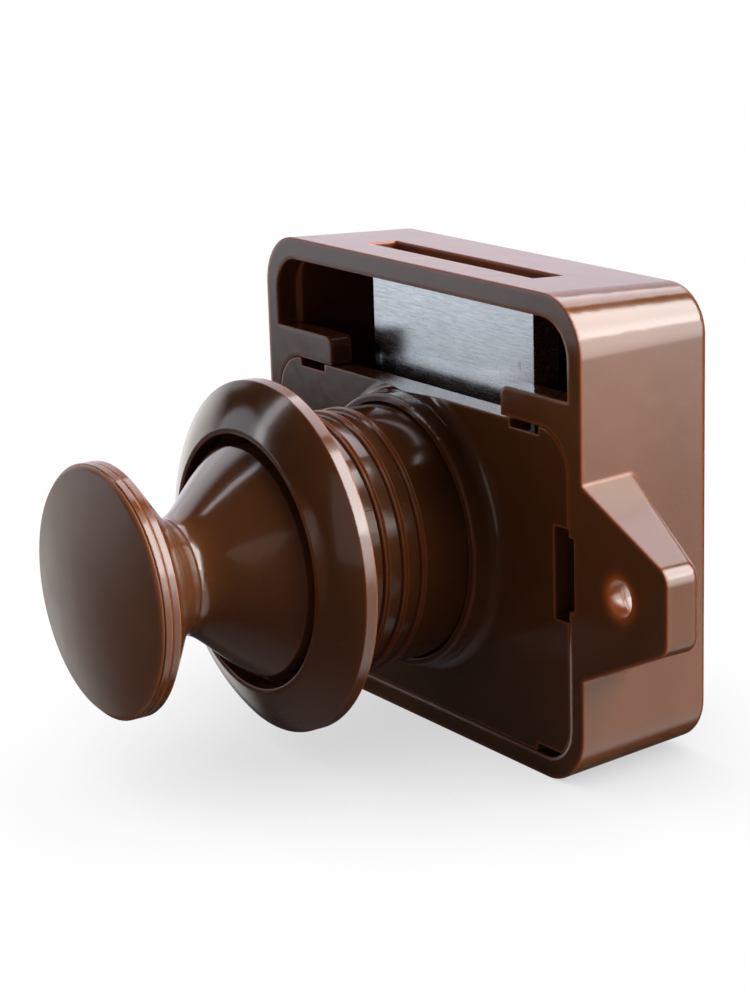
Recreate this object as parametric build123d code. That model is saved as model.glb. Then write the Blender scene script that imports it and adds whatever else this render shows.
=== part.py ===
from build123d import *
import math
import os

# Push button cabinet lock, in millimetres.
# The origin is on the knob's axis, in the face of the door that the box is screwed to.
# X runs along the row of screw holes, Y from the door into the box, Z up, the way the bolt shoots.

# Travel of the knob and of the bolt that it drives
knob_travel = 13.5
bolt_travel = 7.4

# Clearances
running_gap = 0.2
pin_gap = 0.1
seat_gap = 0.12
overrun = 1.0

# Box
box_width = 50.0
box_height = 44.0
box_depth = 15.0
axis_below_middle = 2.9
box_corner = 5.1
box_draft = 0.8
box_back_round = 0.9
side_wall = 1.8
top_wall = 2.1
bottom_wall = 1.9
back_wall = 2.0
opening_corner = 3.5

# Ears with the screw holes
screw_spacing = 60.0
screw_hole_radius = 1.65
ear_reach = 36.2
ear_root_half = 8.8
ear_tip_half = 3.5
ear_corner = 1.7
ear_root_thickness = 6.2
ear_tip_thickness = 3.3
ear_back_round = 0.9
ear_seat_radius = 3.1
ear_skin = 1.6

# Cover that closes the front, and the shoulder tabs above it
cover_thickness = 2.4
cover_corner = 3.9
seat_ledge = 0.6
tab_height = 2.7
tab_inner = 13.7
tab_corner = 0.9
notch_inner = 14.9
notch_outer = 19.1
notch_depth = 0.75
foot_notch_inner = 18.3
foot_notch_outer = 22.1

# Snaps at the sides of the cover
snap_notch_inner = 21.1
snap_notch_bottom = 3.9
snap_notch_top = 4.6
snap_relief = 0.7
snap_half = 2.8
snap_arm = 1.3
snap_nib = 0.9
snap_nib_start = 3.0
snap_nib_length = 1.4
snap_barb = 1.2

# Collar of the cover and the barrel inside it
barrel_radius = 12.0
barrel_wall = 1.25
collar_wall = 0.75
collar_edge_margin = 0.05
collar_height = 2.7
collar_round = 1.1
collar_lip_round = 0.25
barrel_inside = 3.0

# Rosette
door_thickness = 15.3
rosette_overhang = 4.2
rosette_rim = 1.15
rosette_crest = 18.8
rosette_crest_width = 0.5
rosette_bulge = 0.15
recess_margin = 0.95
recess_depth = 1.9

# Knob
head_radius = 11.4
head_front = 33.8
head_thickness = 1.5
head_dome = 1.3
head_line = 0.1
neck_radius = 5.4
neck_place = 26.5
head_back_shares = (-1, 0.85)
cone_foot_shares = (0.75, 1)
cone_base = 18.9
skirt_end = 13.0
skirt_wall = 1.0
cup_floor = 19.0
cap_edge = 0.7
cap_seam = 0.1
cap_pocket_radius = 9.4
cap_pocket_depth = 1.3
cap_plug_wall = 1.1
cap_plug_depth = 1.0

# Screws: share of the head's radius that its flat crown takes
screw_crown_share = 0.7

# Screw that holds the knob to the plunger
screw_radius = 1.4
screw_head_radius = 2.6
screw_head_height = 1.6
screw_place = 30.2
screw_bite = 3.0
washer_radius = 2.9
washer_thickness = 0.5
screw_drive_width = 0.6
screw_drive_length = 3.0
screw_drive_depth = 0.8
screw_pocket_radius = 3.1

# Plunger with the slanted grooves
plunger_half_width = 5.6
plunger_half_height = 6.0
plunger_corner = 1.2
plunger_end = 1.5
groove_depth = 1.6
spring_bore_radius = 2.7
spring_bore_floor = 15.5

# Cam pins that ride in the grooves
cam_pin_radius = 1.2
cam_pin_place = 3.0

# Heart track in the underside of the plunger
track_lane = 1.7
track_swing = 3.6
track_depth = 1.4
track_start = 3.5
heart_point = 2.2
heart_length = 9.0
heart_notch = 1.1

# Latch follower, a bent wire
wire_radius = 0.6
wire_length = 11.5
wire_drop = 1.4
wire_bend = 1.3
wire_foot = 2.6

# Bracket and leaf that hold the follower
bracket_half = 3.3
bracket_front = 5.6
bracket_height = 4.1
bracket_round = 0.8
flange_half = 7.2
flange_height = 4.0
flange_thickness = 1.8
bracket_screw_place = 5.2
bracket_screw_radius = 0.9
bracket_screw_head = 1.7
bracket_screw_head_height = 1.0
bracket_screw_length = 3.0
leaf_thickness = 0.3
leaf_half = 2.0
leaf_tip = 1.0

# Bolt plate and yoke
plate_width = 25.4
plate_thickness = 2.8
plate_middle = 5.9
plate_bottom = 8.6
plate_below_top = 1.9
plate_corner = 0.5
slot_gap_side = 0.4
slot_gap_face = 0.3
yoke_half_width = 11.5
yoke_bottom = 7.0
yoke_bridge_bottom = 6.6
yoke_corner = 1.5
arm_thickness = 1.6
arm_half_height = 1.7
arm_front = 4.7
rail_width = 1.4
rail_depth = 4.0
bolt_screw_place = 7.5
bolt_screw_edge = 2.9
bolt_screw_radius = 1.2
bolt_screw_head = 2.1
bolt_screw_head_height = 1.3
bolt_screw_sunk = 1.6
bolt_screw_skin = 0.8

# Guide plate behind the cover
guide_thickness = 1.2
guide_edge = 2.4
guide_corner = 2.5
guide_screw_clear = 1.0
guide_above_plate = 1.0
guide_boss_radius = 2.0
guide_screw_radius = 0.8
guide_screw_head = 1.6
guide_screw_head_height = 0.8
guide_screw_length = 2.6
wire_window_half = 3.4

# Return spring and its pin
coil_radius = 2.05
coil_wire_radius = 0.35
coil_turns = 9
coil_dead_pitch = 1.25
coil_arcs_a_turn = 4
coil_points_a_turn = 48
spring_pin_radius = 1.3
spring_pin_tip = 0.5
spring_pin_bite = 1.1
spring_washer_thickness = 0.4
least_coil_gap = 0.4

# Places that follow from the sizes above
box_top = box_height / 2 + axis_below_middle
box_bottom = axis_below_middle - box_height / 2
box_side = box_width / 2
inner_side = box_side - side_wall
inner_top = box_top - top_wall
inner_bottom = box_bottom + bottom_wall
inner_back = box_depth - back_wall
bolt_ratio = bolt_travel / knob_travel
cam_low = -bolt_travel / 2
cam_high = bolt_travel / 2
barrel_bore = barrel_radius - barrel_wall
collar_radius = barrel_radius + running_gap + collar_wall
cover_top = collar_radius + collar_edge_margin
rosette_radius = barrel_radius + rosette_overhang
recess_radius = barrel_bore + recess_margin
skirt_radius = barrel_bore - running_gap
skirt_bore = skirt_radius - skirt_wall
arm_inner = plunger_half_width + running_gap + pin_gap
arm_outer = arm_inner + arm_thickness
plate_front = plate_middle - plate_thickness / 2
plate_back = plate_middle + plate_thickness / 2
plate_top = box_top - plate_below_top
yoke_back = inner_back - running_gap
yoke_bridge_top = inner_top - bolt_travel - 2 * running_gap
bolt_screw_height = yoke_bridge_top - bolt_screw_edge
bolt_screw_seat = yoke_back - bolt_screw_sunk
guide_half_height = plate_bottom + guide_above_plate
guide_front = barrel_inside + seat_gap
guide_back = guide_front + guide_thickness
guide_screw_place = barrel_radius + guide_screw_clear + guide_screw_head
guide_half_width = guide_screw_place + guide_edge
wire_middle = -plunger_half_height - wire_drop
track_left = -track_swing / 2
pivot_place = wire_length - track_start
bracket_top = wire_middle - wire_radius - pin_gap - leaf_thickness
bracket_bottom = bracket_top - bracket_height


def front_plane(y):
    """Plane across the lock at depth y, seen from the knob's side."""
    return Plane(origin=(0, y, 0), x_dir=(1, 0, 0), z_dir=(0, -1, 0))


def prism(sketch, y_start, y_end):
    """A flat outline, carried from one depth to another."""
    return extrude(front_plane(y_end) * sketch, amount=y_end - y_start)


def rectangle(x_low, x_high, z_low, z_high):
    """A rectangle from its four sides."""
    middle = Pos((x_low + x_high) / 2, (z_low + z_high) / 2)
    return middle * Rectangle(x_high - x_low, z_high - z_low)


def disc(radius, x, z):
    return Pos(x, z) * Circle(radius)


def turned(outline):
    """A body turned about the knob's axis from an outline of radius and depth."""
    return revolve(make_face(outline), Axis.Y)


def turned_at(points, x, z):
    """A small turned piece on an axis of its own, parallel to the knob's."""
    return Pos(x, 0, z) * turned(Polyline(*points, close=True))


def both_sides(piece):
    """The piece and its mirror image on the other side of the knob's axis."""
    return piece + mirror(piece, Plane.YZ)


def rounded_box(inset_side, inset_top, inset_bottom, radius):
    """Outline of the box, drawn in by its walls."""
    width = box_width - 2 * inset_side
    height = box_height - inset_top - inset_bottom
    middle = axis_below_middle + (inset_bottom - inset_top) / 2
    return Pos(0, middle) * RectangleRounded(width, height, radius)


def tab_outline():
    """Shoulder tab on the right, with the web that rounds the cover's corner."""
    low = cover_top + seat_gap
    bar = rectangle(tab_inner, inner_side + seat_ledge, low, low + tab_height)
    tip = bar.vertices().group_by(Axis.X)[0].sort_by(Axis.Y)[-1]
    bar = fillet(tip, tab_corner)
    web = rectangle(inner_side - cover_corner, inner_side + seat_ledge, low - cover_corner, low + tab_corner)
    web -= disc(cover_corner, inner_side - cover_corner, low - cover_corner)
    return bar + web


def ear():
    """Ear on the right side, thinner towards its tip, with its screw hole."""
    root = box_side - side_wall / 2
    slope = (ear_root_half - ear_tip_half) / (ear_reach - box_side)
    root_half = ear_root_half + slope * (box_side - root)
    outline = make_face(Polyline(
        (root, -root_half), (ear_reach, -ear_tip_half), (ear_reach, ear_tip_half), (root, root_half),
        close=True))
    tips = outline.vertices().group_by(Axis.X)[-1]
    body = prism(fillet(tips, ear_corner), 0, ear_root_thickness)
    wedge = make_face(Polyline(
        (root, 0), (ear_reach + overrun, 0), (ear_reach + overrun, ear_tip_thickness),
        (box_side, ear_root_thickness), (root, ear_root_thickness), close=True))
    body = body & extrude(wedge, amount=box_height / 2, both=True)
    back = [e for e in body.edges() if e.center().Y > ear_tip_thickness / 2 and e.center().X > box_side]
    back = [e for e in back if abs(e.tangent_at(0).Y) < math.sin(math.pi / 4)]
    body = fillet(back, ear_back_round)
    seat = turned_at(
        [(0, ear_skin), (screw_hole_radius, ear_skin), (ear_seat_radius, ear_skin + ear_seat_radius - screw_hole_radius),
         (ear_seat_radius, box_depth), (0, box_depth)], screw_spacing / 2, 0)
    return body - seat - prism(disc(screw_hole_radius, screw_spacing / 2, 0), -overrun, box_depth)


def snap_nib_right():
    """Nib on the side wall that the cover's snap hooks behind."""
    inner = inner_side - seat_ledge
    lead = snap_nib_length / 2
    outline = make_face(Polyline(
        (inner + overrun, snap_nib_start), (inner - snap_nib + lead, snap_nib_start),
        (inner - snap_nib, snap_nib_start + lead), (inner - snap_nib, snap_nib_start + snap_nib_length),
        (inner + overrun, snap_nib_start + snap_nib_length), close=True))
    return extrude(outline, amount=snap_half, both=True)


def guide_rail():
    """Rail on the back wall that guides the yoke on its right side."""
    inner = yoke_half_width + running_gap
    outline = rectangle(inner, inner + rail_width, inner_bottom - overrun, inner_top + overrun)
    return prism(outline, inner_back - rail_depth, inner_back + overrun)


def housing():
    """Box with its drafted walls, ears, tabs, bolt slot and inner guides."""
    front = front_plane(0) * rounded_box(0, 0, 0, box_corner)
    back = front_plane(box_depth) * rounded_box(box_draft, box_draft, box_draft, box_corner - box_draft)
    body = loft([front, back])
    body = fillet(body.faces().sort_by(Axis.Y)[-1].edges(), box_back_round)
    body += both_sides(ear())
    body -= prism(rounded_box(side_wall, top_wall, bottom_wall, opening_corner), -overrun, cover_thickness)
    hollow = rounded_box(side_wall + seat_ledge, top_wall, bottom_wall + seat_ledge, opening_corner - seat_ledge)
    body -= prism(hollow, cover_thickness - overrun / 2, inner_back)
    body += both_sides(prism(tab_outline(), 0, cover_thickness))
    body += both_sides(snap_nib_right())
    body += both_sides(guide_rail())
    relief = rectangle(inner_side - overrun, inner_side + snap_relief, -snap_half, snap_notch_bottom)
    body -= both_sides(prism(relief, -overrun, cover_thickness))
    slot_half = plate_width / 2 + slot_gap_side
    slot = Box(2 * slot_half, plate_thickness + 2 * slot_gap_face, top_wall + 2 * overrun)
    body -= Pos(0, plate_middle, box_top - top_wall / 2) * slot
    body -= prism(disc(spring_pin_radius, 0, 0), inner_back - overrun, inner_back + spring_pin_bite)
    screw_z = bracket_bottom - flange_height / 2
    hole = disc(bracket_screw_radius, bracket_screw_place, screw_z)
    tip = inner_back - flange_thickness + bracket_screw_length
    return body - both_sides(prism(hole, inner_back - overrun, tip))


def cover_outline():
    """Outline of the front cover with its notches."""
    side = inner_side - seat_gap
    foot = inner_bottom + seat_gap
    plate = rectangle(-side, side, foot, cover_top)
    corners = plate.vertices().group_by(Axis.Y)
    plate = fillet(corners[-1], cover_corner - seat_gap)
    plate = fillet(plate.vertices().group_by(Axis.Y)[0], opening_corner - seat_gap)
    top_notch = rectangle(notch_inner, notch_outer, cover_top - notch_depth, cover_top + overrun)
    foot_notch = rectangle(foot_notch_inner, foot_notch_outer, foot - overrun, foot + notch_depth)
    side_notch = rectangle(snap_notch_inner, side + overrun, -snap_notch_bottom, snap_notch_top)
    return plate - both_sides(top_notch + foot_notch + side_notch)


def snap_arm_right():
    """Snap arm on the back of the cover, with its barb."""
    barb_start = snap_nib_start + snap_nib_length + pin_gap
    root = cover_thickness - snap_arm / 2
    tip = barb_start + snap_barb
    outer = snap_notch_inner
    outline = make_face(Polyline(
        (outer - snap_arm, root), (outer, root), (outer, barb_start), (outer + snap_barb, barb_start),
        (outer, tip + snap_barb / 2), (outer - snap_arm, tip + snap_barb / 2), close=True))
    return extrude(outline, amount=snap_half - seat_gap, both=True)


def front_cover():
    """Cover plate with its collar, snap arms and bosses for the guide plate."""
    body = prism(cover_outline(), 0, cover_thickness)
    outer = collar_radius
    flare = outer + collar_round
    lip = -collar_height
    bend = collar_round * (1 - math.sqrt(0.5))
    lip_bend = collar_lip_round * (1 - math.sqrt(0.5))
    outline = Polyline((0, lip), (0, cover_thickness), (flare, cover_thickness), (flare, 0))
    outline += ThreePointArc((flare, 0), (outer + bend, -bend), (outer, -collar_round))
    outline += Line((outer, -collar_round), (outer, lip + collar_lip_round))
    outline += ThreePointArc(
        (outer, lip + collar_lip_round), (outer - lip_bend, lip + lip_bend), (outer - collar_lip_round, lip))
    outline += Line((outer - collar_lip_round, lip), (0, lip))
    under_top = rectangle(-box_side, box_side, box_bottom, cover_top)
    body += turned(outline) & prism(under_top, lip - overrun, cover_thickness)
    boss = prism(disc(guide_boss_radius, guide_screw_place, 0), cover_thickness - overrun, guide_front)
    body += both_sides(boss + snap_arm_right())
    body -= prism(disc(barrel_radius + running_gap, 0, 0), -collar_height - overrun, cover_thickness + overrun)
    tip = guide_back - guide_screw_length
    return body - both_sides(prism(disc(guide_screw_radius, guide_screw_place, 0), tip, guide_front + overrun))


def bezel():
    """Rosette and barrel, moulded in one piece."""
    rim = door_thickness + rosette_rim
    crest_out = (recess_radius + rosette_crest_width, -rosette_crest)
    shoulder = (rosette_radius, -rim)
    middle = ((crest_out[0] + shoulder[0]) / 2 + rosette_bulge, (crest_out[1] + shoulder[1]) / 2 - rosette_bulge)
    floor = rosette_crest - recess_depth
    outline = Polyline(
        (barrel_bore, barrel_inside), (barrel_radius, barrel_inside), (barrel_radius, -door_thickness),
        (rosette_radius, -door_thickness), shoulder)
    outline += ThreePointArc(shoulder, middle, crest_out)
    outline += Polyline(
        crest_out, (recess_radius, -rosette_crest), (recess_radius, -floor), (barrel_bore, -floor + recess_depth / 2),
        (barrel_bore, barrel_inside))
    return turned(outline)


def knob_body():
    """Mushroom head, waist and flared base with the skirt that slides in the barrel."""
    face = -head_front + cap_edge / 2
    middle = face + head_thickness / 2
    rim_back = (head_radius, face + head_thickness)
    base = (skirt_radius, -cone_base)
    outline = Polyline(
        (0, -cup_floor), (skirt_bore, -cup_floor), (skirt_bore, -skirt_end), (skirt_radius, -skirt_end), base)
    outline += Spline(rim_back, (neck_radius, -neck_place), base, tangents=[head_back_shares, cone_foot_shares])
    outline += Polyline(
        rim_back, (head_radius, middle + head_line), (head_radius - head_line, middle), (head_radius, middle - head_line),
        (head_radius, face + cap_seam), (head_radius - cap_seam, face), (cap_pocket_radius, face),
        (cap_pocket_radius, face + cap_pocket_depth), (0, face + cap_pocket_depth), (0, -cup_floor))
    body = turned(outline)
    pocket_floor = -screw_place + screw_head_height + washer_thickness
    body -= prism(disc(screw_pocket_radius, 0, 0), -head_front - overrun, pocket_floor)
    return body - prism(disc(screw_radius + pin_gap, 0, 0), -head_front, -cup_floor + overrun)


def knob_cap():
    """Domed cap that closes the head, with the ring that plugs into it."""
    face = -head_front + cap_edge / 2
    edge = head_radius - cap_seam
    crown_edge = edge - cap_edge / 2
    crown = face - cap_edge / 2
    dome_radius = (crown_edge ** 2 + head_dome ** 2) / (2 * head_dome)
    dome = Pos(0, crown - head_dome + dome_radius, 0) * Sphere(dome_radius)
    dome &= prism(Circle(crown_edge), crown - head_dome - overrun, crown + cap_edge / 4)
    body = dome + turned(Polyline((0, face), (edge, face), (crown_edge, crown), (0, crown), close=True))
    plug = cap_pocket_radius - pin_gap
    ring = Circle(plug) - Circle(plug - cap_plug_wall)
    return body + prism(ring, face - cap_edge / 4, face + cap_plug_depth)


def cross_recess(width, length, y_start, y_end):
    """Cross shaped driver recess."""
    bars = Rectangle(length, width) + Rectangle(width, length)
    return prism(bars, y_start, y_end)


def knob_screw():
    """Screw along the knob's axis that draws the plunger against the knob."""
    head = -screw_place
    under = head + screw_head_height
    tip = -cup_floor + screw_bite
    body = turned(Polyline(
        (0, head), (screw_head_radius, head), (screw_head_radius, under), (screw_radius, under),
        (screw_radius, tip), (0, tip), close=True))
    return body - cross_recess(screw_drive_width, screw_drive_length, head - overrun, head + screw_drive_depth)


def knob_washer():
    """Washer under the head of the knob's screw."""
    start = -screw_place + screw_head_height
    ring = Circle(washer_radius) - Circle(screw_radius + pin_gap)
    return prism(ring, start, start + washer_thickness)


def slanted_groove(radius):
    """Slanted groove that lifts the cam pin as the plunger goes in, from its side."""
    start = Vector(-cam_pin_place, cam_low)
    end = Vector(-cam_pin_place - knob_travel, cam_high)
    return SlotCenterToCenter((end - start).length, 2 * radius), start, end


def groove_cutter():
    """Cutter of the groove in the right side of the plunger."""
    slot, start, end = slanted_groove(cam_pin_radius + pin_gap)
    middle = (start + end) / 2
    angle = math.degrees(math.atan2(end.Y - start.Y, end.X - start.X))
    side = Plane(origin=(plunger_half_width + overrun, 0, 0), x_dir=(0, 1, 0), z_dir=(1, 0, 0))
    return extrude(side * Pos(middle.X, middle.Y) * Rot(0, 0, angle) * slot, amount=-groove_depth - overrun)


def heart_track():
    """Loop of the latch track, round a heart with its notch towards the knob."""
    half = track_lane / 2
    start = -track_start + half
    end = -track_start - knob_travel - half
    loop = rectangle(track_left - half, -track_left + half, end, -plunger_end + overrun)
    inner = -track_left - half
    tip = start - 2 * track_lane
    back = tip - heart_length
    heart = make_face(Polyline(
        (0, tip), (inner, tip - heart_point), (inner, back), (0, back + heart_notch), (-inner, back),
        (-inner, tip - heart_point), close=True))
    return loop - heart


def plunger():
    """Cam block pushed by the knob, with two slanted grooves, the latch track and the spring bore."""
    section = Rectangle(2 * plunger_half_width, 2 * plunger_half_height)
    section = fillet(section.vertices(), plunger_corner)
    body = prism(section, -cup_floor, -plunger_end)
    body -= prism(disc(spring_bore_radius, 0, 0), -spring_bore_floor, -plunger_end + overrun)
    body -= prism(disc(screw_radius, 0, 0), -cup_floor - overrun, -cup_floor + screw_bite)
    body -= both_sides(groove_cutter())
    below = Plane(origin=(0, 0, -plunger_half_height - overrun), x_dir=(1, 0, 0), z_dir=(0, 0, 1))
    return body - extrude(below * heart_track(), amount=track_depth + overrun)


def cam_pin(side):
    """Steel pin pressed into an arm of the yoke, with its end in the plunger's groove."""
    inner = plunger_half_width - groove_depth + running_gap
    pin = Cylinder(cam_pin_radius, arm_outer - inner)
    return Pos(side * (inner + arm_outer) / 2, -cam_pin_place, cam_low) * Rot(0, 90, 0) * pin


def yoke_outline():
    """Legs of the yoke and the bridge that joins them over the plunger."""
    outer = rectangle(-yoke_half_width, yoke_half_width, -yoke_bottom, yoke_bridge_top)
    outer = fillet(outer.vertices(), yoke_corner)
    gate = rectangle(-arm_inner, arm_inner, -yoke_bottom - overrun, yoke_bridge_bottom)
    return outer - gate


def bolt_yoke():
    """Slider that carries the bolt plate and reaches the plunger with two arms."""
    body = prism(yoke_outline(), plate_front, yoke_back)
    step = rectangle(-yoke_half_width - overrun, yoke_half_width + overrun, plate_bottom, yoke_bridge_top + overrun)
    body -= prism(step, plate_front - overrun, plate_back)
    arm = rectangle(arm_inner, arm_outer, cam_low - arm_half_height, cam_low + arm_half_height)
    reach = Circle(skirt_bore - running_gap)
    arm = arm & reach & (Pos(0, -bolt_travel) * reach)
    body += both_sides(prism(arm, -arm_front, plate_front + overrun))
    pins = Rot(0, 90, 0) * Cylinder(cam_pin_radius, 2 * yoke_half_width)
    body -= Pos(0, -cam_pin_place, cam_low) * pins
    shank = disc(bolt_screw_radius, bolt_screw_place, bolt_screw_height)
    head = disc(bolt_screw_head + pin_gap, bolt_screw_place, bolt_screw_height)
    body -= both_sides(prism(head, bolt_screw_seat, yoke_back + overrun))
    return body - both_sides(prism(shank, plate_back - overrun, yoke_back))


def bolt_plate():
    """Flat steel bolt that leaves the box through the slot in its top."""
    outline = rectangle(-plate_width / 2, plate_width / 2, plate_bottom, plate_top)
    outline = fillet(outline.vertices(), plate_corner)
    hole = disc(bolt_screw_radius, bolt_screw_place, bolt_screw_height)
    blind = prism(hole, plate_front + bolt_screw_skin, plate_back + overrun)
    return prism(outline, plate_front, plate_back) - both_sides(blind)


def bolt_screws():
    """Screws that hold the plate to the yoke, driven from behind."""
    length = bolt_screw_seat - plate_front - bolt_screw_skin
    return screw_pair(
        bolt_screw_radius, bolt_screw_head, bolt_screw_head_height, length, bolt_screw_seat, -1,
        place=bolt_screw_place, z=bolt_screw_height)


def latch_follower():
    """Bent wire whose tip runs in the latch track, hinged at its foot."""
    tip_height = -plunger_half_height + track_depth - running_gap
    points = [
        (track_left, -track_start, tip_height),
        (track_left, -track_start, wire_middle),
        (track_left, pivot_place, wire_middle),
        (track_left, pivot_place, bracket_top - wire_foot)]
    path = FilletPolyline(*points, radius=wire_bend / 2)
    section = Plane(origin=points[0], z_dir=(0, 0, -1)) * Circle(wire_radius)
    return sweep(section, path=path)


def follower_bracket():
    """Bracket on the back wall, with the bearing hole of the follower."""
    block = rectangle(-bracket_half - abs(track_left) / 2, bracket_half, bracket_bottom, bracket_top)
    body = prism(block, bracket_front, inner_back)
    upright = body.edges().filter_by(Axis.Z).group_by(Axis.Y)[0]
    body = fillet(upright, bracket_round)
    flange = rectangle(-flange_half, flange_half, bracket_bottom - flange_height, bracket_bottom)
    body += prism(fillet(flange.vertices(), bracket_round), inner_back - flange_thickness, inner_back)
    bearing = Plane(origin=(track_left, pivot_place, bracket_top - wire_foot - running_gap))
    body -= extrude(bearing * Circle(wire_radius + pin_gap / 2), amount=wire_foot + overrun)
    screw_z = bracket_bottom - flange_height / 2
    hole = disc(bracket_screw_radius, bracket_screw_place, screw_z)
    return body - both_sides(prism(hole, inner_back - flange_thickness - overrun, inner_back + overrun))


def small_screw(radius, head_radius, head_height, length, face, x, z, into):
    """Small pan head screw that lies along Y; into is 1 towards the back and -1 towards the door."""
    head = face - into * head_height
    tip = face + into * length
    return turned_at(
        [(0, head), (head_radius * screw_crown_share, head), (head_radius, face - into * head_height / 2), (head_radius, face),
         (radius, face), (radius, tip), (0, tip)], x, z)


def screw_pair(*sizes, place, z):
    """Two like screws, one each side of the knob's axis."""
    radius, head_radius, head_height, length, face, into = sizes
    sides = [small_screw(radius, head_radius, head_height, length, face, x, z, into) for x in (-place, place)]
    return Compound(children=sides)


def bracket_screws():
    """Screws of the follower's bracket."""
    return screw_pair(
        bracket_screw_radius, bracket_screw_head, bracket_screw_head_height, bracket_screw_length,
        inner_back - flange_thickness, 1, place=bracket_screw_place, z=bracket_bottom - flange_height / 2)


def guide_screws():
    """Screws that hold the guide plate to the cover."""
    return screw_pair(
        guide_screw_radius, guide_screw_head, guide_screw_head_height, guide_screw_length, guide_back, -1,
        place=guide_screw_place, z=0)


def follower_leaf():
    """Spring steel leaf that keeps the follower in its track."""
    rise = pin_gap / 2
    thick = leaf_thickness
    low = bracket_top
    outline = make_face(Polyline(
        (bracket_front + bracket_half * 2, low), (bracket_front, low), (leaf_tip, low + rise),
        (leaf_tip - wire_radius, low - rise), (leaf_tip - wire_radius, low - rise + thick),
        (leaf_tip, low + rise + thick), (bracket_front, low + thick), (bracket_front + bracket_half * 2, low + thick),
        close=True))
    side = Plane(origin=(track_left / 2, 0, 0), x_dir=(0, 1, 0), z_dir=(1, 0, 0))
    body = extrude(side * outline, amount=leaf_half, both=True)
    hole = Pos(track_left, pivot_place, low) * Cylinder(wire_radius + running_gap, 2 * overrun)
    return body - hole


def guide_plate():
    """Plate behind the cover whose window keeps the plunger from turning."""
    outline = Rectangle(2 * guide_half_width, 2 * guide_half_height)
    outline = fillet(outline.vertices(), guide_corner)
    outline -= Rectangle(2 * (plunger_half_width + running_gap), 2 * (plunger_half_height + running_gap))
    arm_reach = cam_high + arm_half_height + running_gap
    outline -= Rectangle(2 * (arm_outer + running_gap), 2 * arm_reach)
    low = wire_middle - wire_radius - leaf_thickness - 2 * pin_gap - running_gap
    outline -= rectangle(-wire_window_half, wire_window_half, low, 0)
    outline -= both_sides(disc(guide_screw_radius, guide_screw_place, 0))
    return prism(outline, guide_front, guide_back)


def spring_pin():
    """Pin on the back wall that keeps the return spring straight."""
    tip = spring_pin_tip
    base = inner_back + spring_pin_bite
    return turned(Polyline(
        (0, tip), (spring_pin_radius / 2, tip), (spring_pin_radius, tip + spring_pin_radius / 2),
        (spring_pin_radius, base), (0, base), close=True))


def spring_washer():
    """Steel washer that the return spring stands on."""
    ring = Circle(spring_bore_radius - running_gap) - Circle(spring_pin_radius)
    return prism(ring, inner_back - spring_washer_thickness, inner_back)


def coil_point(turn, start, rise_of):
    """Point on the coil and the direction of its wire after a number of turns."""
    step = 1 / 1000
    angle = 2 * math.pi * turn
    y = start + rise_of(turn)
    slope = (rise_of(turn + step) - rise_of(turn - step)) / (2 * step)
    point = Vector(coil_radius * math.cos(angle), y, coil_radius * math.sin(angle))
    around = 2 * math.pi * coil_radius
    return point, Vector(-around * math.sin(angle), slope, around * math.cos(angle)).normalized()


def biarc(first, second):
    """Two arcs, tangent to each other, from one point and direction to another."""
    (p, u), (q, v) = first, second
    chord = q - p
    both = u + v
    a = both.dot(both) - 4
    b = -2 * chord.dot(both)
    c = chord.dot(chord)
    reach = (-b - math.sqrt(b * b - 4 * a * c)) / (2 * a)
    near = p + u * reach
    far = q - v * reach
    joint = (near + far) / 2
    return [TangentArc(p, joint, tangent=u), TangentArc(joint, q, tangent=(far - near).normalized())]


def knob_spring():
    """Return spring inside the plunger, one unbroken wire with a dead turn at each end."""
    start = -spring_bore_floor + coil_wire_radius
    end = inner_back - spring_washer_thickness - coil_wire_radius
    live_pitch = (end - start - 2 * coil_dead_pitch) / (coil_turns - 2)

    def rise_of(turn):
        live = min(max(turn - 1, 0), coil_turns - 2)
        dead = turn - live
        return dead * coil_dead_pitch + live * live_pitch

    per_turn = coil_arcs_a_turn
    stops = [coil_point(i / per_turn, start, rise_of) for i in range(coil_turns * per_turn + 1)]
    arcs = []
    for first, second in zip(stops, stops[1:]):
        arcs += biarc(first, second)
    section = Plane(origin=stops[0][0], z_dir=stops[0][1]) * Circle(coil_wire_radius)
    fine = coil_points_a_turn
    points = [coil_point(i / fine, start, rise_of)[0] for i in range(coil_turns * fine + 1)]
    half = fine // 2
    apart = min((a - b).length for i, a in enumerate(points) for b in points[i + half:i + 3 * half])
    gap = apart - 2 * coil_wire_radius
    print("least gap of the return spring to itself:", round(gap, 3), "wanted over", least_coil_gap)
    return sweep(section, path=Wire(arcs))


nodes = {
    "housing": housing,
    "front_cover": front_cover,
    "bezel": bezel,
    "knob_body": knob_body,
    "knob_cap": knob_cap,
    "knob_screw": knob_screw,
    "knob_washer": knob_washer,
    "plunger": plunger,
    "cam_pin_left": lambda: cam_pin(-1),
    "cam_pin_right": lambda: cam_pin(1),
    "bolt_yoke": bolt_yoke,
    "bolt_plate": bolt_plate,
    "bolt_screws": bolt_screws,
    "latch_follower": latch_follower,
    "follower_bracket": follower_bracket,
    "bracket_screws": bracket_screws,
    "follower_leaf": follower_leaf,
    "guide_plate": guide_plate,
    "guide_screws": guide_screws,
    "spring_pin": spring_pin,
    "spring_washer": spring_washer,
    "knob_spring": knob_spring,
}

os.makedirs("parts", exist_ok=True)
for name, make in nodes.items():
    export_step(make(), "parts/" + name + ".step")
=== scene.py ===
import bpy
import bmesh
import math
from mathutils import Matrix, Vector


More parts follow.
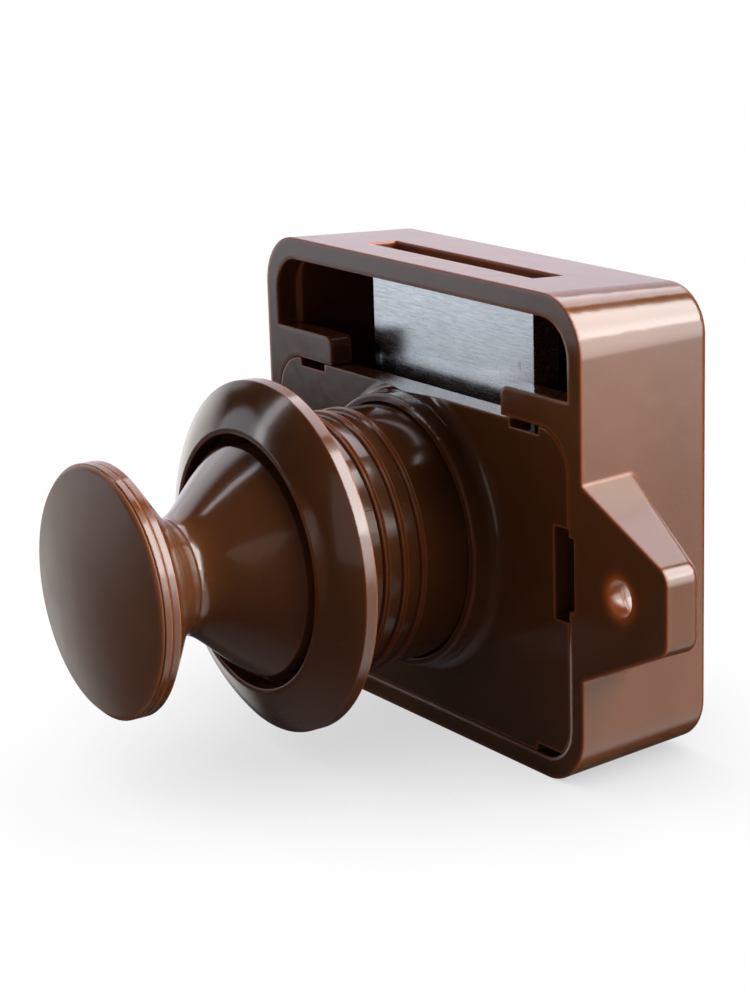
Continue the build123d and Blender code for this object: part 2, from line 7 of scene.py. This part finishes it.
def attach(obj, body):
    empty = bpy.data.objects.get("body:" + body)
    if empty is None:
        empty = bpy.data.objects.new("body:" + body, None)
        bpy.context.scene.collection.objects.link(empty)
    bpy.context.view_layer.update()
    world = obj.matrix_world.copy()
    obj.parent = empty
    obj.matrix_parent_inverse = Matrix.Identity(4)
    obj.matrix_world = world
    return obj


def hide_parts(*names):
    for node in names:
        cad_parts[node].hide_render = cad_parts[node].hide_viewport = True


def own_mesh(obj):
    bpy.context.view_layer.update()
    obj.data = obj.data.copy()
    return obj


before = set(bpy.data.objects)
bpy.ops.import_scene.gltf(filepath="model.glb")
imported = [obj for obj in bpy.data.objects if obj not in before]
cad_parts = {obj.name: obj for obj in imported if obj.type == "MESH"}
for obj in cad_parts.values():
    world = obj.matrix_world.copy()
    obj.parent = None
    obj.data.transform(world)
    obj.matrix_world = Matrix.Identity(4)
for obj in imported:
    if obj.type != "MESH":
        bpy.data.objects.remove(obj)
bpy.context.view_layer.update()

MM = 0.001

# Sizes and places that the CAD gives, in millimetres
BARREL_RADIUS = 12.0
FLOOR_HEIGHT = -19.15
HOLE_PLACE = 30.0
HOLE_RADIUS = 1.65
SEAT_RADIUS = 3.1

# Camera, fitted to a picture of 750 x 1000: degrees, and millimetres
AZIMUTH = 56.37
ELEVATION = 15.18
ROLL = -1.76
DISTANCE = 243.55
TARGET = (-6.78, 0.0, 1.03)
LENS = 91.307
SENSOR_HEIGHT = 36.0
CLIP_START = 0.01
CLIP_END = 10.0

# Brown plastic: its clouds, its specks, the painted glow of light in its thin edges and in the thin skin
# round the screw holes, and the painted shade of the barrel's lower part
BROWN_DEEP = (0.105, 0.034, 0.010)
BROWN_WARM = (0.134, 0.046, 0.015)
BROWN_SPECK = (0.165, 0.064, 0.028)
PAINTED_EDGE_GLOW = (0.44, 0.115, 0.030)
PAINTED_SEAT_GLOW = (0.55, 0.120, 0.018)
PAINTED_BARREL_SHADE = (0.030, 0.009, 0.003)
SUBSURFACE_RADIUS = (1.0, 0.24, 0.06)
SUBSURFACE_DEPTH = 1.8

# Black plastic and steel
BLACK_DEEP = (0.018, 0.016, 0.015)
BLACK_PALE = (0.034, 0.030, 0.027)
BLACK_RUBBED = (0.085, 0.078, 0.070)
WORN_STEEL = (0.93, 0.93, 0.94)
# Painted shade that darkens the foot of the bolt plate
PAINTED_FOOT_SHADE = (0.030, 0.028, 0.026)

# Floor: radius in metres, grey for all light but the camera's, reach of its contact shadow in metres
FLOOR_RADIUS = 3.0
FLOOR_SHADE = 0.30
SHADOW_REACH = 0.030

# Broad pale panels of the studio, as the plastic and the steel mirror them:
# direction, cosines where the panel ends and where it is full, strength, colour
PANELS = (
    ((-0.80, 0.52, 0.22), 0.72, 0.90, 1.05, (0.95, 0.89, 1.0)),
    ((0.80, 0.53, -0.32), 0.89, 0.975, 1.55, (1.0, 0.98, 0.97)),
    ((0.62, 0.55, -0.56), 0.82, 0.95, 1.15, (1.0, 0.98, 0.97)),
    ((0.52, 0.55, 0.64), 0.84, 0.95, 3.0, (1.0, 0.98, 0.97)),
    ((0.72, 0.54, 0.37), 0.932, 0.964, 3.4, (1.0, 0.98, 0.97)),
    ((0.69, 0.71, 0.16), 0.90, 1.0, 6.6, (1.0, 0.98, 0.97)),
    ((-0.85, 0.10, 0.50), 0.91, 0.975, 1.7, (0.97, 0.96, 1.0)),
    ((-0.80, -0.57, 0.06), 0.953, 0.972, 1.25, (0.86, 0.93, 1.0)),
    ((-0.97, -0.05, -0.20), 0.89, 0.985, 1.5, (1.0, 0.97, 0.94)),
    ((-0.30, -0.30, -0.90), 0.80, 0.99, 0.15, (0.98, 0.95, 1.0)),
)
WORLD_FILL = 0.035

# Lamps: name, place, width and height in metres, power in watts, colour
LAMPS = (
    ("key_right", (0.28, 0.30, 0.33), 0.40, 0.40, 3.9, (1.0, 0.97, 0.94)),
    ("top_soft", (-0.15, 0.26, 0.38), 0.26, 0.26, 0.75, (0.96, 0.94, 1.0)),
    ("strip_left", (-0.30, -0.30, 0.28), 0.05, 0.40, 0.25, (0.97, 0.97, 1.0)),
    ("front_fill", (0.16, -0.44, 0.10), 0.28, 0.28, 0.105, (1.0, 0.93, 0.86)),
)

# Barrel thread, in millimetres along the knob's axis. It starts at THREAD_TURN degrees.
THREAD_PITCH = 1.95
THREAD_START = -14.2
THREAD_END = -6.58
THREAD_TURN = 213.6
THREAD_RISE = 0.30
THREAD_SHOULDER = THREAD_RISE - 0.03
STATIONS_PER_TURN = 120

# Each end of the thread fades within 1 / THREAD_FADE of a turn: it sinks by THREAD_SINK millimetres
# and narrows to the share THREAD_TIP
THREAD_FADE = 5.0
THREAD_SINK = 0.08
THREAD_TIP = 0.3

# Half of the thread's section, up to its middle: offsets outward and along the axis, in millimetres
THREAD_HALF = [
    (-0.05, -0.42), (0.04, -0.38), (0.10, -0.33), (THREAD_SHOULDER, -0.27), (THREAD_RISE, -0.23),
    (THREAD_SHOULDER, -0.19), (0.10, -0.10), (0.06, 0.0)]

# Mould parting lines on the barrel: degrees round the axis, and millimetres
PARTING_LINES = (("parting_line_near", 29.0), ("parting_line_far", 209.0))
PARTING_START = -15.2
PARTING_STEP = 0.5
PARTING_STOPS = 25
PARTING_HALF_WIDTH = 0.06
PARTING_RIDGE = 0.05
PARTING_FOOT = -0.03
RIDGE_SHARE = 0.4


def add_camera():
    """Camera at the photograph's angle, with its small roll."""
    turn, rise, roll = (math.radians(angle) for angle in (AZIMUTH, ELEVATION, ROLL))
    back = Vector((math.sin(turn) * math.cos(rise), -math.cos(turn) * math.cos(rise), math.sin(rise)))
    right = Vector((math.cos(turn), math.sin(turn), 0.0))
    up = back.cross(right)
    cosine, sine = math.cos(roll), math.sin(roll)
    right, up = right * cosine + up * sine, up * cosine - right * sine
    data = bpy.data.cameras.new("camera")
    data.sensor_fit = "VERTICAL"
    data.sensor_height = SENSOR_HEIGHT
    data.lens = LENS
    data.clip_start = CLIP_START
    data.clip_end = CLIP_END
    camera = bpy.data.objects.new("camera", data)
    bpy.context.scene.collection.objects.link(camera)
    place = (Vector(TARGET) + back * DISTANCE) * MM
    camera.matrix_world = Matrix((
        (right.x, up.x, back.x, place.x),
        (right.y, up.y, back.y, place.y),
        (right.z, up.z, back.z, place.z),
        (0.0, 0.0, 0.0, 1.0)))
    bpy.context.scene.camera = camera


def rgb(colour, factor=1.0):
    """Colour socket value, with the colour scaled."""
    return (*[factor * part for part in colour], 1.0)


class Nodes:
    """Short calls for building one node tree."""

    def __init__(self, tree):
        self.tree = tree
        self.tree.nodes.clear()

    def node(self, kind, **values):
        made = self.tree.nodes.new("ShaderNode" + kind)
        for key, value in values.items():
            setattr(made, key, value)
        return made

    def put(self, socket, value):
        """Link a socket, or set a plain value."""
        if isinstance(value, bpy.types.NodeSocket):
            self.tree.links.new(value, socket)
        else:
            socket.default_value = value

    def math(self, kind, first, second=0.0, clamp=False):
        made = self.node("Math", operation=kind, use_clamp=clamp)
        self.put(made.inputs[0], first)
        self.put(made.inputs[1], second)
        return made.outputs[0]

    def dot(self, first, second):
        made = self.node("VectorMath", operation="DOT_PRODUCT")
        self.put(made.inputs[0], first)
        self.put(made.inputs[1], second)
        return made.outputs["Value"]

    def span(self, value, low, high, to_low=0.0, to_high=1.0, kind="LINEAR"):
        """Value mapped from low-high to to_low-to_high, held at both ends."""
        made = self.node("MapRange", interpolation_type=kind)
        self.put(made.inputs["Value"], value)
        keys = ("From Min", "From Max", "To Min", "To Max")
        for key, number in zip(keys, (low, high, to_low, to_high)):
            made.inputs[key].default_value = number
        return made.outputs[0]

    def mix(self, factor, first, second):
        made = self.node("Mix", data_type="RGBA")
        colour_inputs = made.inputs[6], made.inputs[7]
        self.put(made.inputs[0], factor)
        self.put(colour_inputs[0], first)
        self.put(colour_inputs[1], second)
        return made.outputs[2]

    def pick(self, ray, others, chosen):
        """One shader for a kind of ray, and another for all other rays."""
        made = self.node("MixShader")
        self.put(made.inputs[0], self.node("LightPath").outputs[ray])
        self.put(made.inputs[1], others)
        self.put(made.inputs[2], chosen)
        return made.outputs[0]


class Finish(Nodes):
    """A material, with masks and textures in the CAD's own coordinates."""

    def __init__(self, name):
        self.material = bpy.data.materials.new(name)
        self.material.use_nodes = True
        super().__init__(self.material.node_tree)
        self.output = self.node("OutputMaterial").inputs["Surface"]
        self.place = self.node("TexCoord").outputs["Object"]

    def axes(self):
        """The place's X, Y and Z."""
        made = self.node("SeparateXYZ")
        self.put(made.inputs[0], self.place)
        return made.outputs

    def stretch(self, scale):
        made = self.node("Mapping")
        self.put(made.inputs["Vector"], self.place)
        made.inputs["Scale"].default_value = scale
        return made.outputs[0]

    def noise(self, scale, detail, place=None, roughness=0.5, distortion=0.0):
        made = self.node("TexNoise")
        self.put(made.inputs["Vector"], place or self.place)
        made.inputs["Scale"].default_value = scale
        made.inputs["Detail"].default_value = detail
        made.inputs["Roughness"].default_value = roughness
        made.inputs["Distortion"].default_value = distortion
        return made.outputs["Fac"]

    def rounded_normal(self, radius):
        made = self.node("Bevel", samples=6)
        made.inputs["Radius"].default_value = radius * MM
        return made.outputs[0]

    def edges(self, radius):
        """Mask of the sharp edges: how far the rounded normal leaves the true one."""
        plain = self.node("NewGeometry").outputs["Normal"]
        return self.span(self.dot(self.rounded_normal(radius), plain), 0.995, 0.75)

    def painted_seat_glow_mask(self):
        """Mask of the thin front skin round the two screw holes, where a glow of light from behind is painted.
        """
        place = self.axes()
        aside = self.math("SUBTRACT", self.math("ABSOLUTE", place["X"]), HOLE_PLACE * MM)
        squares = self.math("ADD", self.math("POWER", aside, 2.0), self.math("POWER", place["Z"], 2.0))
        near = self.span(self.math("SQRT", squares), HOLE_RADIUS * MM, SEAT_RADIUS * MM, 1.0, 0.0)
        front = self.span(place["Y"], 0.0, 2.0 * MM, 1.0, 0.0)
        return self.math("MULTIPLY", self.math("POWER", near, 2.4), front)

    def lower_barrel_dull_and_painted_shade(self):
        """Mask of the barrel below its lit top, where the plastic is duller and darkened with painted shade."""
        place = self.axes()
        along = self.span(place["Y"], -15.2 * MM, -14.8 * MM)
        low = self.span(place["Z"], 7.0 * MM, 10.0 * MM, 1.0, 0.0)
        return self.math("MULTIPLY", along, low)

    def bump(self, height, strength, distance, rounding):
        """Normal with a fine relief, on edges rounded by some millimetres."""
        made = self.node("Bump")
        made.inputs["Strength"].default_value = strength
        made.inputs["Distance"].default_value = distance
        self.put(made.inputs["Height"], height)
        self.put(made.inputs["Normal"], self.rounded_normal(rounding))
        return made.outputs[0]

    def surface(self, **values):
        """The finished material, from the values and sockets of its principled shader."""
        shader = self.node("BsdfPrincipled")
        for key, value in values.items():
            self.put(shader.inputs[key.replace("_", " ")], value)
        self.put(self.output, shader.outputs[0])
        return self.material


def brown_plastic(name, tint, flow, glow=0.85, matt=0.0, reach=0.5, rounding=0.22, seats=False, barrel=False):
    """Glossy chocolate brown plastic: cloudy colour, painted glow on thin edges, faint ripple and hairline
    scratches.

    Flow stretches the clouds, glow and reach (millimetres) are those of the painted edge glow, rounding
    (millimetres) softens the edges' shading. Seats paints a glow of light round the screw holes, barrel dulls
    its lower part and darkens it with painted shade.
    """
    s = Finish(name)
    cloud = s.noise(70.0, 3.0, s.stretch(flow))
    speck = s.noise(2600.0, 1.0)
    body = s.mix(s.span(cloud, 0.35, 0.65), rgb(BROWN_DEEP, tint), rgb(BROWN_WARM, tint))
    body = s.mix(s.span(speck, 0.62, 0.80, 0.0, 0.25), body, rgb(BROWN_SPECK, tint))
    edge = s.edges(reach)
    # Painted glow of light on the thin edges
    colour = s.mix(s.math("MULTIPLY", edge, glow), body, rgb(PAINTED_EDGE_GLOW))
    # Painted glow of light in the thin skin round the screw holes
    if seats:
        colour = s.mix(s.math("MULTIPLY", s.painted_seat_glow_mask(), 0.85), colour, rgb(PAINTED_SEAT_GLOW))
    hair = s.span(s.noise(420.0, 1.0, s.stretch((1.0, 1.0, 14.0)), distortion=1.2), 0.70, 0.76)
    smear = s.noise(130.0, 4.0, roughness=0.6)
    rough = s.span(smear, 0.3, 0.7, 0.10 + matt, 0.17 + matt)
    rough = s.math("ADD", rough, s.math("MULTIPLY", hair, 0.05))
    rough = s.math("ADD", rough, s.math("MULTIPLY", edge, 0.10), clamp=True)
    ripple = s.math("ADD", s.noise(240.0, 2.0), s.math("MULTIPLY", hair, -0.05))
    coat = 0.0 if matt else 0.25
    shine = 0.5
    # Barrel: its lower part is dulled in shine and darkened with painted shade
    if barrel:
        dull = s.lower_barrel_dull_and_painted_shade()
        coat = s.span(dull, 0.0, 1.0, coat, 0.02)
        shine = s.span(dull, 0.0, 1.0, shine, 0.13)
        colour = s.mix(s.math("MULTIPLY", dull, 0.42), colour, rgb(PAINTED_BARREL_SHADE))
    return s.surface(
        Base_Color=colour, Roughness=rough, Normal=s.bump(ripple, 0.10, 0.0003, rounding), IOR=1.49,
        Specular_IOR_Level=shine, Coat_Weight=coat, Coat_Roughness=0.08, Subsurface_Weight=0.3,
        Subsurface_Radius=SUBSURFACE_RADIUS, Subsurface_Scale=SUBSURFACE_DEPTH * MM)


def black_acetal(name):
    """Satin black plastic of the inner parts, with a fine mould grain and rubbed edges."""
    s = Finish(name)
    cloud = s.noise(160.0, 3.0)
    grain = s.noise(5200.0, 2.0)
    colour = s.mix(s.span(cloud, 0.3, 0.7), rgb(BLACK_DEEP), rgb(BLACK_PALE))
    colour = s.mix(s.math("MULTIPLY", s.edges(0.3), 0.6), colour, rgb(BLACK_RUBBED))
    rough = s.span(s.noise(300.0, 3.0), 0.3, 0.7, 0.38, 0.55)
    return s.surface(Base_Color=colour, Roughness=rough, Normal=s.bump(grain, 0.22, 0.00012, 0.15), IOR=1.48)


def steel(name, colour, grain, smooth, dull, stain=0.35, drawn=1.0, shaded_foot=None):
    """Plated steel: drawn grain, cloudy plating, worn edges and dull spots.

    Grain stretches the drawn lines, smooth and dull are the limits of the roughness, stain and drawn scale the
    spots and the lines. The last argument gives the place in x and the height in millimetres where painted
    shade darkens the plate's foot.
    """
    s = Finish(name)
    line = s.noise(900.0, 3.0, s.stretch(grain), roughness=0.65)
    cloud = s.noise(110.0, 4.0, roughness=0.6, distortion=0.8)
    spot = s.span(s.noise(700.0, 2.0), 0.72, 0.80)
    base = s.mix(s.span(cloud, 0.3, 0.7), rgb(colour, 0.86), rgb(colour))
    base = s.mix(s.math("MULTIPLY", s.span(line, 0.4, 0.6), 0.22 * drawn), base, rgb(colour, 0.72))
    base = s.mix(s.math("MULTIPLY", spot, stain), base, rgb(colour, 0.45))
    base = s.mix(s.math("MULTIPLY", s.edges(0.25), 0.5), base, rgb(WORN_STEEL))
    # Painted shade on the foot of the plate, dark over a bright reflection there
    if shaded_foot is not None:
        aside, height = shaded_foot
        place = s.axes()
        side = s.span(s.math("ABSOLUTE", place["X"]), aside * MM, (aside + 0.2) * MM, 0.0, 0.97)
        foot = s.span(place["Z"], height * MM, (height + 0.8) * MM, 1.0, 0.0)
        base = s.mix(s.math("MULTIPLY", side, foot), base, rgb(PAINTED_FOOT_SHADE))
    rough = s.span(line, 0.35, 0.65, smooth, dull)
    rough = s.math("ADD", rough, s.math("MULTIPLY", spot, 0.2), clamp=True)
    normal = s.bump(line, 0.12 * drawn, 0.00006, 0.12)
    return s.surface(Base_Color=base, Roughness=rough, Normal=normal, Metallic=1.0)


def stage_material(name, shade):
    """White with a soft contact shadow for the camera, a plain pale diffuse for light, nothing for mirrors."""
    s = Finish(name)
    diffuse = s.node("BsdfDiffuse")
    diffuse.inputs["Color"].default_value = rgb((shade, shade, shade))
    occlusion = s.node("AmbientOcclusion", samples=12)
    occlusion.inputs["Distance"].default_value = SHADOW_REACH
    glow = s.node("Emission")
    s.put(glow.inputs["Strength"], s.span(occlusion.outputs["AO"], 0.0, 0.85, 0.55, 1.0))
    seen = s.pick("Is Camera Ray", diffuse.outputs[0], glow.outputs[0])
    s.put(s.output, s.pick("Is Glossy Ray", seen, s.node("BsdfTransparent").outputs[0]))
    return s.material


def add_floor():
    """Plain pale floor under the box."""
    mesh = bpy.data.meshes.new("floor")
    made = bmesh.new()
    bmesh.ops.create_circle(made, cap_ends=True, segments=96, radius=FLOOR_RADIUS)
    made.to_mesh(mesh)
    made.free()
    floor = bpy.data.objects.new("floor", mesh)
    floor.location = (0.0, 0.0, FLOOR_HEIGHT * MM)
    bpy.context.scene.collection.objects.link(floor)
    floor.data.materials.append(stage_material("floor_white", FLOOR_SHADE))


def add_lamps():
    """Soft rectangular lamps that look at the middle of the lock."""
    for name, place, width, height, power, colour in LAMPS:
        data = bpy.data.lights.new(name, "AREA")
        data.shape = "RECTANGLE"
        data.size = width
        data.size_y = height
        data.energy = power
        data.color = colour
        lamp = bpy.data.objects.new(name, data)
        lamp.location = place
        lamp.rotation_euler = (-Vector(place)).to_track_quat("-Z", "Y").to_euler()
        bpy.context.scene.collection.objects.link(lamp)


def add_world():
    """White for the camera; for all other light an even fill with the broad soft panels."""
    world = bpy.data.worlds.new("studio")
    world.use_nodes = True
    bpy.context.scene.world = world
    s = Nodes(world.node_tree)
    place = s.node("TexCoord").outputs["Generated"]
    light = rgb((1.0, 1.0, 1.0), WORLD_FILL)
    for direction, end, full, strength, colour in PANELS:
        nearness = s.dot(place, Vector(direction).normalized())
        light = s.mix(s.span(nearness, end, full, kind="SMOOTHSTEP"), light, rgb(colour, strength))
    white, fill = s.node("Background"), s.node("Background")
    white.inputs["Color"].default_value = rgb((1.0, 1.0, 1.0))
    s.put(fill.inputs["Color"], light)
    output = s.node("OutputWorld")
    s.put(output.inputs["Surface"], s.pick("Is Camera Ray", fill.outputs[0], white.outputs[0]))


def new_piece(name, vertices, faces, material, body, smooth=True):
    """A visible piece of its own, given in millimetres, that rides on a CAD body."""
    mesh = bpy.data.meshes.new(name)
    mesh.from_pydata([Vector(v) * MM for v in vertices], [], faces)
    mesh.validate()
    mesh.update()
    if smooth:
        mesh.polygons.foreach_set("use_smooth", [True] * len(mesh.polygons))
    piece = bpy.data.objects.new(name, mesh)
    bpy.context.scene.collection.objects.link(piece)
    piece.data.materials.append(material)
    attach(piece, body)


materials = {
    "housing": brown_plastic("housing_brown", 1.0, (1.0, 1.0, 0.4), reach=0.8, rounding=0.5, seats=True),
    "front_cover": brown_plastic("cover_brown", 0.82, (0.4, 1.0, 1.0)),
    "bezel": brown_plastic("bezel_brown", 0.84, (1.0, 0.4, 1.0), glow=0.4, barrel=True),
    "knob_body": brown_plastic("knob_brown", 0.84, (1.0, 0.4, 1.0)),
    "knob_cap": brown_plastic("cap_brown", 1.30, (1.0, 1.0, 1.0), matt=0.24),
    "acetal": black_acetal("black_acetal"),
    "bolt": steel("bolt_zinc", (0.80, 0.82, 0.86), (0.5, 1.0, 5.0), 0.20, 0.29, 0.2, 0.5, shaded_foot=(11.8, 14.4)),
    "pin": steel("pin_steel", (0.62, 0.62, 0.63), (9.0, 1.0, 1.0), 0.22, 0.38),
    "screw": steel("screw_zinc", (0.70, 0.70, 0.66), (1.0, 5.0, 1.0), 0.20, 0.36),
    "spring": steel("spring_wire", (0.50, 0.50, 0.52), (1.0, 6.0, 1.0), 0.24, 0.40),
}

look_of = {
    "housing": "housing", "front_cover": "front_cover", "bezel": "bezel", "knob_body": "knob_body",
    "knob_cap": "knob_cap", "knob_screw": "screw", "knob_washer": "screw", "plunger": "acetal",
    "cam_pin_left": "pin", "cam_pin_right": "pin", "bolt_yoke": "acetal", "bolt_plate": "bolt",
    "bolt_screws": "screw", "latch_follower": "spring", "follower_bracket": "acetal", "bracket_screws": "screw",
    "follower_leaf": "spring", "guide_plate": "acetal", "guide_screws": "screw", "spring_pin": "pin",
    "spring_washer": "screw", "knob_spring": "spring",
}


def dress_nodes():
    """Every CAD node gets its own finish."""
    for name, look in look_of.items():
        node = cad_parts[name]
        node.data.materials.clear()
        node.data.materials.append(materials[look])


def add_thread():
    """Fine double crested thread on the barrel, next to the rosette, running out at both ends."""
    turns = (THREAD_END - THREAD_START) / THREAD_PITCH
    steps = int(turns * STATIONS_PER_TURN)
    section = THREAD_HALF + [(out, -along) for out, along in THREAD_HALF[-2::-1]]
    count = len(section)
    vertices, faces = [], []
    for i in range(steps + 1):
        part = i / steps
        share = min(1.0, part * turns * THREAD_FADE, (1.0 - part) * turns * THREAD_FADE)
        y = THREAD_START + (THREAD_END - THREAD_START) * part
        angle = 2 * math.pi * turns * part + math.radians(THREAD_TURN)
        for out, along in section:
            reach = BARREL_RADIUS + out * share - THREAD_SINK * (1.0 - share)
            width = along * (THREAD_TIP + (1.0 - THREAD_TIP) * share)
            vertices.append((reach * math.cos(angle), y + width, reach * math.sin(angle)))
    for i in range(steps):
        for j in range(count):
            a, b = i * count + j, i * count + (j + 1) % count
            faces.append((a, b, b + count, a + count))
    faces.append(tuple(range(count))[::-1])
    faces.append(tuple(steps * count + j for j in range(count)))
    new_piece("barrel_thread", vertices, faces, materials["bezel"], "lock_case")


def add_parting_lines():
    """Fine raised mould line along the barrel, and its twin on the far side."""
    half = PARTING_HALF_WIDTH / BARREL_RADIUS
    section = (
        (-half, PARTING_FOOT), (-half * RIDGE_SHARE, PARTING_RIDGE),
        (half * RIDGE_SHARE, PARTING_RIDGE), (half, PARTING_FOOT))
    stops = [PARTING_START + PARTING_STEP * i for i in range(PARTING_STOPS)]
    for name, angle in PARTING_LINES:
        middle = math.radians(angle)
        vertices, faces = [], []
        for y in stops:
            for side, rise in section:
                reach = BARREL_RADIUS + rise
                vertices.append((reach * math.cos(middle + side), y, reach * math.sin(middle + side)))
        for i in range(len(stops) - 1):
            for j in range(4):
                a, b = 4 * i + j, 4 * i + (j + 1) % 4
                faces.append((a, b, b + 4, a + 4))
        faces.append((3, 2, 1, 0))
        last = 4 * (len(stops) - 1)
        faces.append((last, last + 1, last + 2, last + 3))
        new_piece(name, vertices, faces, materials["bezel"], "lock_case", smooth=False)


def add_spring():
    """The return spring, a copy of the CAD spring with its own mesh, riding on the case in place of the hidden
    CAD node.
    """
    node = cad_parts["knob_spring"]
    piece = bpy.data.objects.new("return_spring", node.data.copy())
    bpy.context.scene.collection.objects.link(piece)
    piece.data.materials.clear()
    piece.data.materials.append(materials["spring"])
    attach(piece, "lock_case")
    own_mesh(piece)
    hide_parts("knob_spring")


bpy.context.scene.view_settings.view_transform = "Standard"
add_camera()
add_world()
add_floor()
add_lamps()
dress_nodes()
add_thread()
add_parting_lines()
add_spring()
